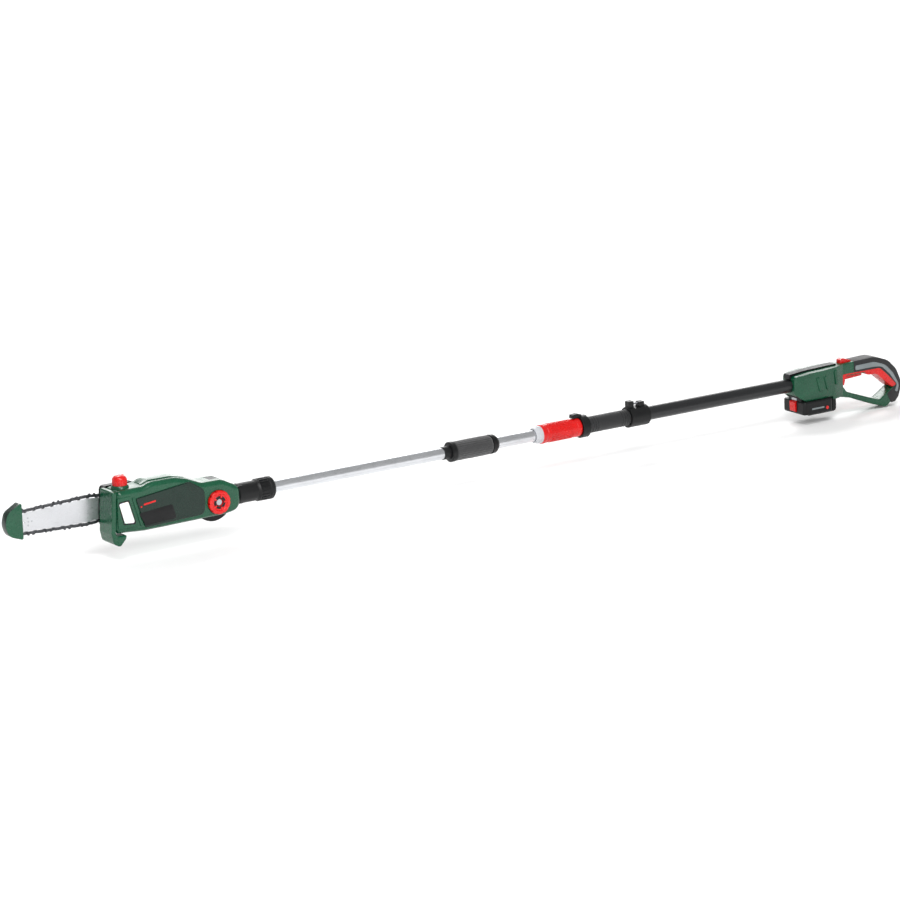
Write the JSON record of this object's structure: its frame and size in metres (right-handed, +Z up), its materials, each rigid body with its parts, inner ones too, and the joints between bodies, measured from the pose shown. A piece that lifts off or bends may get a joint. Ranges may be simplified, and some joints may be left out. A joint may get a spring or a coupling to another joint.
{
  "type": "telescoping pole saw",
  "caption": "Battery pole saw: telescoping tube with twist lock, tilting chain saw head with oil tank, D handle with trigger, slide-in battery and strap ring.",
  "frame": {"origin": "on the pole's axis, at the middle of the shoulder strap ring's gap", "axes": "+X along the pole towards the D handle, -X towards the saw head, +Z up with the bar's plane upright, +Y to the right of the user, the side of the guide bar"},
  "size_m": [2.0894, 0.087, 0.1611],
  "materials": {
    "shell_green": "satin",
    "panel_green": "satin",
    "black_plastic": "satin",
    "red_plastic": "gloss",
    "soft_black": "matte",
    "foam_black": "matte",
    "pole_aluminium": "satin",
    "pole_black": "satin",
    "bar_steel": "brushed",
    "chain_steel": "oiled",
    "zinc_steel": "satin",
    "tank_white": "satin",
    "ring_grey": "satin",
    "motor_steel": "satin",
    "copper_core": "satin",
    "cell_wrap": "gloss",
    "contact_brass": "polished",
    "board_green": "satin",
    "cable_black": "matte",
    "spring_steel": "satin"
  },
  "bodies": {
    "handle": {"outer_tube": "pole_black", "clamp_collet": "black_plastic", "lock_collar": "black_plastic", "front_grip_sleeve": "soft_black", "strap_ring_upper": "black_plastic", "strap_ring_lower": "black_plastic", "strap_pin": "zinc_steel", "handle_shell_left": "shell_green", "handle_shell_right": "shell_green", "handle_screws": "zinc_steel", "top_spine": "black_plastic", "soft_grip": "soft_black", "inner_liner": "red_plastic", "bumper_bow": "black_plastic", "battery_contacts": "contact_brass", "controller_board": "board_green", "switch_unit": "black_plastic", "coil_cable": "cable_black"},
    "twist_sleeve": {"lock_sleeve": "red_plastic", "sleeve_mouth_ring": "ring_grey"},
    "upper_pole": {"inner_tube": "pole_aluminium", "rear_bush": "black_plastic", "foam_grip": "foam_black", "foam_front_ring": "black_plastic", "foam_rear_ring": "black_plastic", "pole_cable": "cable_black", "knuckle": "black_plastic", "socket_collar": "black_plastic"},
    "head": {"head_shell_left": "shell_green", "head_shell_right": "shell_green", "head_screws": "zinc_steel", "side_panel": "panel_green", "window_bezel": "black_plastic", "oil_tank": "tank_white", "front_guard": "shell_green", "guide_bar": "bar_steel", "saw_chain": "chain_steel", "tip_guard": "shell_green", "sprocket_cover": "black_plastic", "bar_stud": "zinc_steel", "motor_can": "motor_steel", "gearbox_plate": "zinc_steel", "pivot_axle": "zinc_steel", "tilt_button_spring": "spring_steel", "tilt_lead": "cable_black"},
    "tilt_button": {"tilt_lock_button": "red_plastic"},
    "cap": {"oil_cap": "red_plastic"},
    "knob": {"cover_knob": "red_plastic"},
    "spindle": {"drive_gear": "zinc_steel", "sprocket_spindle": "zinc_steel", "drive_sprocket": "zinc_steel"},
    "rotor": {"motor_rotor": "copper_core", "motor_pinion": "zinc_steel"},
    "battery": {"battery_lower_case": "black_plastic", "battery_upper_case": "black_plastic", "battery_cells": "cell_wrap"},
    "release": {"battery_release_button": "red_plastic"},
    "gauge": {"charge_level_button": "red_plastic"},
    "squeeze": {"trigger": "red_plastic"},
    "lock_off": {"lock_off_button": "red_plastic"}
  },
  "joints": [
    {"name": "telescope", "type": "slide", "parent": "handle", "child": "upper_pole", "axis": [-1, 0, 0], "range_m": [0, 0.5], "deforming": ["coil_cable"]},
    {"name": "lock_twist", "type": "hinge", "parent": "handle", "child": "twist_sleeve", "pos_m": [-0.19, 0, 0], "axis": [1, 0, 0], "range_deg": [0, 90]},
    {"name": "head_tilt", "type": "hinge", "parent": "upper_pole", "child": "head", "pos_m": [-0.988, 0, 0], "axis": [0, 1, 0], "range_deg": [-45, 30], "deforming": ["tilt_lead"]},
    {"name": "tilt_button_press", "type": "slide", "parent": "head", "child": "tilt_button", "axis": [0, 1, 0], "range_m": [0, 0.005], "stiffness_N_per_m": 900, "springref_m": -0.003, "deforming": ["tilt_button_spring"]},
    {"name": "oil_cap_turn", "type": "hinge", "parent": "head", "child": "cap", "pos_m": [-1.18, -0.002, 0.06], "axis": [0, 0, 1], "range_deg": [0, 120]},
    {"name": "cover_knob_turn", "type": "hinge", "parent": "head", "child": "knob", "pos_m": [-1.184, 0.044, 0.0165], "axis": [0, 1, 0], "range_deg": [0, 360]},
    {"name": "spindle_spin", "type": "hinge", "parent": "head", "child": "spindle", "pos_m": [-1.15, 0.02, 0.0165], "axis": [0, 1, 0], "continuous": true},
    {"name": "rotor_spin", "type": "hinge", "parent": "head", "child": "rotor", "pos_m": [-1.11885, 0, 0.0165], "axis": [0, 1, 0], "continuous": true},
    {"name": "battery_slide", "type": "slide", "parent": "handle", "child": "battery", "axis": [-1, 0, 0], "range_m": [0, 0.12]},
    {"name": "release_press", "type": "slide", "parent": "battery", "child": "release", "axis": [1, 0, 0], "range_m": [0, 0.003], "stiffness_N_per_m": 1000, "springref_m": -0.002},
    {"name": "gauge_press", "type": "slide", "parent": "battery", "child": "gauge", "axis": [0, 1, 0], "range_m": [0, 0.001], "stiffness_N_per_m": 800, "springref_m": -0.001},
    {"name": "trigger_squeeze", "type": "hinge", "parent": "handle", "child": "squeeze", "pos_m": [0.536, 0, 0.008], "axis": [0, 1, 0], "range_deg": [-8, 0], "stiffness_Nm_per_rad": 1.2, "springref_deg": 8.59},
    {"name": "lock_off_press", "type": "slide", "parent": "handle", "child": "lock_off", "axis": [0, 0, -1], "range_m": [0, 0.0035], "stiffness_N_per_m": 700, "springref_m": -0.002}
  ],
  "couplings": [
    {"joint": "rotor_spin", "follows": "spindle_spin", "ratio": -4.1667}
  ]
}
